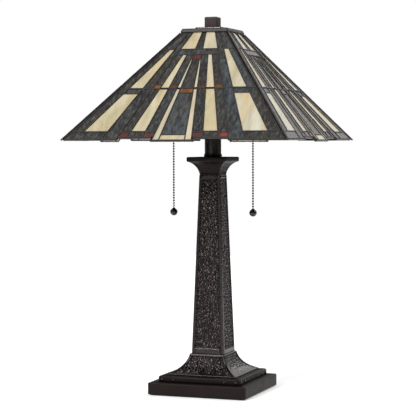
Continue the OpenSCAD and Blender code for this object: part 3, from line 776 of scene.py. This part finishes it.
def panel_outline(node, matrix):
    """Corners of a leading node's outline, in panel places, from its outward walls."""
    mesh = NODES[node].data
    out = matrix.col[2].to_3d()
    back = matrix.inverted()
    edges = {}
    for polygon in faces_out(mesh, out):
        corners = [whole_microns(back @ mesh.vertices[v].co) for v in polygon.vertices]
        for a, b in zip(corners, corners[1:] + corners[:1]):
            if (b, a) in edges:
                del edges[(b, a)]
            else:
                edges[(a, b)] = True
    follow = {a: b for a, b in edges}
    start = min(follow)
    loop = [start]
    while follow[loop[-1]] != start:
        loop.append(follow[loop[-1]])
    return [Vector((x * MICRON, y * MICRON, 0)) for x, y, _ in loop]


def outline_bead(outline):
    """The bead of solder round a panel's outline: a closed tube, deeper than it is wide."""
    path = []
    count = len(outline)
    for i in range(count):
        a, b = outline[i], outline[(i + 1) % count]
        steps = max(1, round((b - a).length / EDGE_STEP))
        path += [a.lerp(b, s / steps) for s in range(steps)]
    normals = []
    for i in range(len(path)):
        along = (path[(i + 1) % len(path)] - path[i - 1]).normalized()
        normals.append(Vector((along.y, -along.x, 0)))
    points = []
    for s in range(EDGE_SIDES):
        turn = 2 * math.pi * s / EDGE_SIDES
        for p, out in zip(path, normals):
            lump = 1 + 0.10 * noise.noise(Vector((p.x * EDGE_LUMPS, p.y * EDGE_LUMPS, 9)))
            q = p + out * (-EDGE_INSET + EDGE_HALF_WIDTH * math.cos(turn) * lump)
            points.append((q.x, q.y, LEAD_BACK / 2 + EDGE_HALF_DEPTH * math.sin(turn) * lump))
    return points, ring_faces(EDGE_SIDES, len(path), closed_rows=True)


def make_leading(k):
    """The solder net of one panel, with a bead round its outline."""
    side = SIDES[k]
    build = Build()
    for glass in GLASSES:
        node = f"{side}_{glass}_glass" if glass in ("cream", "grey") else f"{glass}_glass"
        for corners in panes_of(node, PANELS[k]):
            build.add(*lead_ring(corners), move=PANELS[k])
    outline = panel_outline(f"{side}_leading", PANELS[k])
    build.add(*outline_bead(outline), move=PANELS[k])
    piece = build.piece(f"{side}_solder_net", "leading", "shade", "leading")
    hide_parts(f"{side}_leading")


HIP_RADIUS = 2.4 * MM
HIP_SEEN_RADIUS = 1.4 * MM


def make_hips():
    """Rounded came on each hip, run a little unevenly. It is thinner than the CAD's, with the same
    crest."""
    build = Build()
    low, high = box("hip_cames")
    mesh = NODES["hip_cames"].data
    corner = [v.co for v in mesh.vertices if v.co.x > 0 and v.co.y < 0]
    crown = [co for co in corner if co.z > high.z - 1.5 * HIP_RADIUS]
    foot = [co for co in corner if co.z < low.z + 1.5 * HIP_RADIUS]
    start = sum(foot, Vector()) / len(foot)
    end = sum(crown, Vector()) / len(crown)
    along = (end - start).normalized()
    out = Vector((1, -1, 0)) - along * Vector((1, -1, 0)).dot(along)
    lift = out.normalized() * (HIP_RADIUS - HIP_SEEN_RADIUS)
    for k in range(4):
        turn = Matrix.Rotation(k * math.pi / 2, 3, "Z")
        path = straight_path(turn @ (start + lift), turn @ (end + lift), LEAD_STEP)
        build.add(*sweep(path, HIP_SEEN_RADIUS, 12, 0.12))
    piece = build.piece("hip_solder_cames", "leading", "shade", "leading", sharp=60)
    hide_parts("hip_cames")


def make_shade():
    for k, side in enumerate(SIDES):
        make_leading(k)
        make_panes(f"{side}_cream_panes", [k], [f"{side}_cream_glass"], "cream")
        make_panes(f"{side}_grey_panes", [k], [f"{side}_grey_glass"], "grey")
    make_panes("amber_panes", range(4), ["amber_glass"] * 4, "amber")
    make_panes("red_panes", range(4), ["red_glass"] * 4, "red")
    make_hips()


# -------- base and column

# A casting's corners are drawn at these parts of the corner radius, in from the end of a face.
CORNER_PARTS = (0.02, 0.3, 1.0)
PANEL_STEP = 0.35 * MM
# The column's edge strips lean in towards its corners by this slope, and carry this much painted sheen,
# paler as if catching the light.
STILE_TILT = 0.15
STILE_SHEEN = 0.13
RIVET_PLACES = (-65 * MM, -45 * MM, 45 * MM, 65 * MM)


def section_of(node):
    """Gives the half width of a square CAD node at a height, measured at the middle of its front."""
    mesh = NODES[node].data
    corners = [v.co for v in mesh.vertices]
    tree = BVHTree.FromPolygons(corners, [tuple(p.vertices) for p in mesh.polygons])
    low, high = box(node)
    margin, off_middle = 0.02 * MM, 0.3 * MM

    def half_at(z):
        height = min(max(z, low.z + margin), high.z - margin)
        hit = tree.ray_cast(Vector((off_middle, -1, height)), Vector((0, 1, 0)))[0]
        return -hit.y

    return half_at


def ramp(value, low, high):
    """0 below low, 1 above high and smooth between them."""
    t = min(1.0, max(0.0, (value - low) / (high - low)))
    return t * t * (3 - 2 * t)


def hump(distance, width):
    """1 at no distance, and fading away on both sides."""
    return math.exp(-(distance / width) ** 2)


def sunk(x, z, edge, low, high, slopes):
    """1 in a face's sunk panel and 0 on the rails round it. slopes are half the widths of the
    slopes at its sides, its foot and its head."""
    beside, below, above = slopes
    inside = ramp(edge - abs(x), -beside, beside)
    inside *= ramp(z, low - below, low + below)
    return inside * (1 - ramp(z, high - above, high + above))


def pebbles(face, x, z, size, depth):
    """Hammered relief: domed lumps, each tipped its own way, with narrow valleys between them.
    Gives the height, and a crest value from 1 on a pale crest, partly wear and partly painted
    highlight, to -1 in a valley."""
    spot = Vector((x / size, z / (size * 1.1), face * 17.3))
    near, points = noise.voronoi(spot)
    valley = min(1.0, (near[1] - near[0]) * 2.4)
    dome = 1 - (1 - valley) ** 2 - 0.45 * near[0] ** 2
    tip = noise.cell_vector(points[0] * 7.0) - Vector((0.5, 0.5, 0.5))
    tipped = dome + (spot - points[0]).dot(Vector((tip.x, tip.y, 0))) * 0.55
    # pale tops of the lumps: partly wear, partly painted highlight
    wear_and_highlight = ramp(tipped, 0.76, 1.02) * max(0.0, 0.50 + 0.6 * tip.z)
    return depth * (tipped - 0.45), wear_and_highlight - ramp(1 - dome, 0.25, 0.8)


def face_columns(stile, corner, spacing, widest):
    """Places across a face: rounded corners, stile, panel edge and the panel's own grid."""
    inner = max(4, round(2 * (widest - stile) / spacing))

    def columns(half):
        edge = half - stile
        low = [-(half - corner * part) for part in CORNER_PARTS]
        low += [-(half - (corner + stile) / 2), -(edge + PANEL_STEP), -(edge - PANEL_STEP)]
        middle = [-(edge - PANEL_STEP) * (1 - 2 * i / inner) for i in range(1, inner)]
        return low + middle + [-x for x in reversed(low)]

    return columns


def make_column():
    low, high = box("column")
    bottom, top = low.z, high.z
    section = section_of("column")
    half_bottom, half_top = section(bottom), section(top)
    stile, depth, corner = 5.6 * MM, 1.3 * MM, 1.0 * MM
    panel_low, panel_high = bottom + 9 * MM, top - 5 * MM
    grooves = [bottom + 99 * MM, bottom + 151 * MM]
    groove_depth, groove_width = 0.4 * MM, 0.7 * MM
    end_step, end_inset, step = 0.4 * MM, 0.5 * MM, 0.95 * MM

    def half_at(z):
        return half_bottom + (half_top - half_bottom) * (z - bottom) / (top - bottom)

    def relief(face, x, half, z):
        edge = half - stile
        inside = sunk(x, z, edge, panel_low, panel_high, (0.4 * MM, 1.2 * MM, 1.2 * MM))
        lump, crest = pebbles(face, x, z, 4.2 * MM, depth)
        out = inside * (lump - depth) - STILE_TILT * max(0.0, abs(x) - edge)
        out += 0.10 * MM * (1 - inside) * noise.noise(Vector((x * 300, z * 120, face)))
        # painted shade: darker along the sunk panel's sides, foot and head
        painted_edge_shade = hump(edge - abs(x) - 0.5 * MM, 0.7 * MM)
        if abs(x) > edge:
            out -= sum(groove_depth * hump(z - g, groove_width) for g in grooves)
        if abs(x) < edge:
            painted_edge_shade += hump(z - panel_low - 0.4 * MM, 1.3 * MM)
            painted_edge_shade += hump(panel_high - z - 0.4 * MM, 1.3 * MM)
        painted_edge_shade = min(painted_edge_shade, 1.0)
        # stiles and rails carry painted sheen; the sunk panel's edges carry painted shade
        return out, inside * (1 - painted_edge_shade) * crest + STILE_SHEEN * (1 - inside) - painted_edge_shade

    levels = [bottom, bottom + end_step] + spread(bottom + end_step, top - end_step, step)
    levels += [top - end_step, top]
    rows = [(half_at(z) - (end_inset if z in (levels[0], levels[-1]) else 0), z) for z in levels]
    columns = face_columns(stile, corner, step, half_bottom)
    shape = tower(rows, corner, columns, relief)
    piece = one_piece(shape, "hammered_column", "bronze", "base", "bronze")
    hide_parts("column")


def make_foot():
    low, high = box("foot")
    bottom, top = low.z, high.z
    section = section_of("foot")
    half_top = section(top)
    stile, corner, lip = 5.5 * MM, 1.2 * MM, 2.6 * MM
    panel_low, panel_high = bottom + lip + 0.9 * MM, top - 5.0 * MM
    rib_height, rib_place, rib_width, rib_top = 0.5 * MM, 1.2 * MM, 1.3 * MM, top - 2 * MM

    def relief(face, x, half, z):
        edge = half - stile
        inside = sunk(x, z, edge, panel_low, panel_high, (0.5 * MM, 0.5 * MM, 0.5 * MM))
        rib = rib_height * hump(abs(x) - edge - rib_place, rib_width) * (z < rib_top)
        lump, crest = pebbles(face + 4, x, z * 1.15, 4.3 * MM, 1.4 * MM)
        return inside * (lump - 1.2 * MM) + rib, inside * crest - 0.9 * (1 - inside)

    shoulder = top - 1.2 * MM
    levels = [bottom, bottom + 1.2 * MM, bottom + lip - 0.5 * MM]
    levels += [bottom + lip + 0.12 * MM * i * i for i in range(1, 4)]
    levels += [levels[-1] + d for d in spread(0, shoulder - levels[-1], 0.62 * MM)]
    rows = [(section(z), z) for z in levels]
    rows += inset(half_top, top, (0.1, 1.2), (0.5, 0.4), (1.5, 0))
    columns = face_columns(stile, corner, 1.25 * MM, section(bottom))
    shape = tower(rows, corner, columns, relief)
    piece = one_piece(shape, "hammered_foot", "bronze", "base", "bronze")
    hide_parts("foot")


def make_capital():
    low, high = box("capital")
    bottom, top = low.z, high.z
    section = section_of("capital")
    half_bottom, half_lip = section(bottom), high.x
    stile, corner = 3.4 * MM, 1.0 * MM
    flare_top = top - 8.2 * MM
    panel_low, panel_high = bottom + 2.5 * MM, flare_top - 2.0 * MM

    def relief(face, x, half, z):
        inside = sunk(x, z, half - stile, panel_low, panel_high, (0.3 * MM, 0.5 * MM, 0.6 * MM))
        wave = 0.12 * MM * noise.noise(Vector((x * 180, z * 180, face * 3.3 + 60)))
        lump, crest = pebbles(face + 8, x, z, 3.6 * MM, 0.6 * MM)
        return inside * (lump - 0.6 * MM) + wave, 0.3 * inside * crest - 0.6

    rows = [(section(z), z) for z in [bottom] + spread(bottom, flare_top, 0.65 * MM)]
    rows += inset(half_lip, flare_top, (0.9, 0), (0.2, -0.7))
    rows += [(half_lip, z) for z in spread(flare_top + 0.9 * MM, top - 1.4 * MM, 1.2 * MM)]
    rows += inset(half_lip, top, (0.2, 1.2), (0.8, 0.6), (2.0, 0.3))
    rows += [(half_lip * 0.7, top - 0.1 * MM), (half_bottom, top)]
    columns = face_columns(stile, corner, 1.1 * MM, half_bottom * 1.3)
    shape = tower(rows, corner, columns, relief)
    piece = one_piece(shape, "hammered_capital", "smooth_bronze", "base", "bronze")
    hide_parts("capital")


def plain_columns(corner, count):
    """Places across a face with rounded corners and an even grid of count steps."""
    def columns(half):
        low = [-(half - corner * part) for part in CORNER_PARTS]
        middle = [(half - corner) * (2 * i / count - 1) for i in range(1, count)]
        return low + middle + [-x for x in reversed(low)]
    return columns


def cast_relief(amount, scale=60, tone=0.0):
    """The slight waviness of a plain casting, and how light or dark its tone is all over."""
    def relief(face, x, half, z):
        wave = noise.noise(Vector((x * scale + face * 9.1, half * scale, z * scale)))
        return amount * wave, tone
    return relief


def rounded_slab(name, node, edge, corner, material, slot=None, waviness=0.12 * MM, tone=0.0):
    """A square slab in a CAD node's place, with rounded upper edges and corners."""
    low, high = box(node)
    half = high.x
    under = 0.5 * MM
    rows = [(half - under, low.z), (half, low.z + under)]
    rows += [(half, z) for z in spread(low.z + under, high.z - edge, 3 * MM)]
    rows += [(half - edge + x, z) for x, z in arc((0, high.z - edge), edge, 0, 90, 5)]
    rows += [(half * part, high.z) for part in (0.8, 0.6)]
    shape = tower(rows, corner, plain_columns(corner, 24), cast_relief(waviness, tone=tone))
    piece = one_piece(shape, name, material, "base", slot or material, sharp=60)
    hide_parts(node)


def make_rivets():
    """Domed rivet heads with short shanks, near the ends of each side of the tier."""
    low, high = box("tier_rivets")
    face = box("base_tier")[1].x
    rise = high.x - face
    radius = (high.z - low.z) / 2
    height = (low.z + high.z) / 2
    ball = (radius ** 2 + rise ** 2) / (2 * rise)
    reach = math.degrees(math.asin(radius / ball))
    profile = [(radius, -0.6 * MM), (radius, 0.1 * MM)]
    profile += [(x, z + rise - ball) for x, z in arc((0, 0), ball, 90 - reach, 88, 6)]
    outward = Matrix.Rotation(math.pi / 2, 4, "X")
    build = Build()
    for k in range(4):
        for across in RIVET_PLACES:
            turn = Matrix.Rotation(k * math.pi / 2, 4, "Z")
            place = turn @ Matrix.Translation((across, -face, height))
            build.add(*lathe(profile, 20), move=place @ outward)
    piece = build.piece("domed_rivets", "rivet_bronze", "base", "bronze", sharp=50)
    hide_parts("tier_rivets")


def make_neck():
    low, high = box("neck_collar")
    r = high.x
    edge, round_edge = 0.8 * MM, 1.2 * MM
    collar = [(r - edge, low.z), (r, low.z + edge), (r, high.z - 2.0 * MM)]
    rounded = arc((0, high.z - 1.6 * MM), round_edge, 20, 90, 4)
    collar += [(r - round_edge + x, z) for x, z in rounded]
    collar += [(r - 1.8 * MM, high.z)]
    piece = one_piece(lathe(collar, 64), "turned_neck_collar", "bronze", "base", "bronze", sharp=50)
    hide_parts("neck_collar")
    low, high = box("neck_tube")
    levels = [low.z] + spread(low.z, high.z, 4 * MM) + [high.z]
    shape = lathe([(high.x, z) for z in levels], 64)
    piece = one_piece(shape, "drawn_neck_tube", "neck", "base", "bronze", sharp=50)
    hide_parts("neck_tube")


def make_base():
    rounded_slab("cast_plinth", "base_plinth", 1.4 * MM, 2.5 * MM, "smooth_bronze", slot="bronze")
    rounded_slab("cast_tier", "base_tier", 2.6 * MM, 3 * MM, "smooth_bronze", slot="bronze", tone=-0.6)
    rounded_slab("pressed_felt_pad", "felt_pad", 0.5 * MM, 2.5 * MM, "felt", waviness=0.0)
    make_rivets()
    make_foot()
    make_column()
    make_capital()
    make_neck()


# -------- top of the shade


RIM_HOLE = 35.6 * MM
CAP_PAD = 22.9 * MM


def make_rim():
    low, high = box("top_rim")
    section = section_of("top_rim")
    half_low, half_top = section(low.z), section(high.z)
    corner = 1.5 * MM
    rows = [(half_low - 1.6 * MM, low.z + 0.2 * MM), (half_low - 0.5 * MM, low.z)]
    rows += [(section(z), z) for z in spread(low.z, high.z - 0.6 * MM, 0.9 * MM)]
    rows += inset(half_top, high.z, (0.3, 0.4), (1.0, 0))
    rows += inset(RIM_HOLE, high.z, (0, 0), (0.65, 0.5))
    shape = tower(rows, corner, plain_columns(corner, 40), cast_relief(0.30 * MM, 170))
    piece = one_piece(shape, "soldered_rim", "leading", "shade", "bronze", sharp=50)
    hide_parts("top_rim")


def make_vase_cap():
    """The plate that closes the top of the shade, with the square pad that the finial presses on."""
    low, high = box("vase_cap")
    corner = 0.8 * MM
    plate_top = box("top_rim")[1].z + 0.1 * MM
    rows = [(high.x, low.z)] + inset(high.x, plate_top, (0, 0.4), (0.5, 0))
    rows += inset(CAP_PAD, plate_top, (-1.2, -0.1), (-0.2, -0.4), (0, -1.0))
    rows += inset(CAP_PAD, high.z, (0, 0.8), (0.3, 0.25), (1.0, 0))
    shape = tower(rows, corner, plain_columns(corner, 24), cast_relief(0.1 * MM))
    piece = one_piece(shape, "stepped_vase_cap", "bronze", "shade", "bronze", sharp=50)
    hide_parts("vase_cap")


def make_finial():
    low, high = box("finial")
    half, edge, under, corner = high.x, 1.3 * MM, 0.4 * MM, 0.9 * MM
    rows = [(half - under, low.z), (half, low.z + under)]
    rows += [(half, z) for z in spread(low.z + under, high.z - edge, 2 * MM)]
    rows += inset(half, high.z, (0, 1.3), (0.35, 0.715), (0.9, 0.25), (1.3, 0.1))
    rows += [(half * 0.6, high.z)]
    shape = tower(rows, corner, plain_columns(corner, 12), cast_relief(0.10 * MM, 120))
    piece = one_piece(shape, "block_finial", "finial_bronze", "finial", "finial_bronze", sharp=50)
    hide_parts("finial")


# -------- sockets, chains and bulbs


CHAIN_PITCH = 4.42 * MM
BEAD_SWELL = 1.09
LINK_RADIUS = 0.65 * MM
BULB_NECK = 12.78 * MM
BULB_THREAD = 3.62 * MM


def upright_at(node):
    """The place of a node's upright axis."""
    low, high = box(node)
    return Matrix.Translation(((low.x + high.x) / 2, 0, 0))


def make_chain(side):
    """Bead chain: beads a little wider than the CAD's, on short wire links."""
    low, high = box(f"{side}_pull_chain")
    bead = (high.x - low.x) / 2
    count = round((high.z - low.z - 2 * bead) / CHAIN_PITCH) + 1
    pitch = (high.z - low.z - 2 * bead) / (count - 1)
    turns = [math.radians(angle) for angle in range(-80, 81, 16)]
    profile = [(BEAD_SWELL * bead * math.cos(t), bead * math.sin(t)) for t in turns]
    profile.append((0.45 * MM, bead))
    wire = [(LINK_RADIUS, -pitch / 2), (LINK_RADIUS, pitch / 2)]
    axis = upright_at(f"{side}_pull_chain")
    build = Build()
    for i in range(count):
        place = axis @ Matrix.Translation((0, 0, high.z - bead - i * pitch))
        build.add(*lathe(profile, 14), move=place)
        if i < count - 1:
            build.add(*lathe(wire, 8), move=place @ Matrix.Translation((0, 0, -pitch / 2)))
    piece = build.piece(f"{side}_bead_chain", "chain_black", f"{side}_chain", "chain_black", sharp=70)
    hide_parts(f"{side}_pull_chain")


def make_ball(side):
    """Ball pull turned with a small hollow neck."""
    low, high = box(f"{side}_pull_ball")
    r = (high.x - low.x) / 2
    neck = 2.3 * MM
    profile = arc((0, low.z + r), r, -86, 66, 18)
    profile += inset(neck, high.z, (0, 0.3), (0.25, 0), (0.55, 0), (0.6, 1.0))
    piece = one_piece(lathe(profile, 32), f"{side}_ball_pull", "chain_black", f"{side}_chain",
                      "chain_black", sharp=50, move=upright_at(f"{side}_pull_chain"))
    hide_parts(f"{side}_pull_ball")


def make_bulb_glass(side):
    low, high = box(f"{side}_bulb_glass")
    r = (high.x - low.x) / 2
    profile = [
        (BULB_NECK - 1 * MM, low.z),
        (BULB_NECK, low.z + 1 * MM),
        (BULB_NECK, low.z + 4 * MM),
        (13.3 * MM, low.z + 9 * MM),
        (14.6 * MM, low.z + 14 * MM),
    ]
    profile += arc((0, high.z - r), r, -44, 88, 20)
    piece = one_piece(lathe(profile, 48), f"{side}_bulb_envelope", "bulb_glass", f"{side}_bulb",
                      "bulb_glass", sharp=60, move=upright_at(f"{side}_bulb_glass"))
    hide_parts(f"{side}_bulb_glass")


def make_bulb_base(side):
    """Screw base with a rolled thread above its tapered contact end."""
    low, high = box(f"{side}_bulb_base")
    r = (high.x - low.x) / 2
    thread_low, thread_high = low.z + 5 * MM, high.z - 1.5 * MM

    def groove(angle, height):
        if height < thread_low or height > thread_high:
            return 0.0
        return -0.35 * MM * (1 + math.cos(2 * math.pi * height / BULB_THREAD - angle))

    levels = [thread_low] + spread(thread_low, high.z, 0.45 * MM) + [high.z]
    profile = [(3.2 * MM, low.z), (4 * MM, low.z + 0.4 * MM), (9 * MM, low.z + 3 * MM)]
    profile += [(r, z) for z in levels]
    piece = one_piece(lathe(profile, 32, groove), f"{side}_screw_base", "nickel", f"{side}_bulb",
                      "nickel", sharp=60, move=upright_at(f"{side}_bulb_glass"))
    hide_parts(f"{side}_bulb_base")


def dress_cad_nodes():
    """Gives every CAD node that stays in view the material of its record slot."""
    slots = {s["node"]: s["material_slot"] for s in frame["record"]["subparts"]}
    for name, node in NODES.items():
        material = MATERIALS[slots[name]]
        node.data.materials.clear()
        node.data.materials.append(material)


dress_cad_nodes()
make_camera()
make_lights()
make_floor()
make_base()
make_shade()
make_rim()
make_vase_cap()
make_finial()
for side in LEFT_RIGHT:
    make_chain(side)
    make_ball(side)
    make_bulb_glass(side)
    make_bulb_base(side)
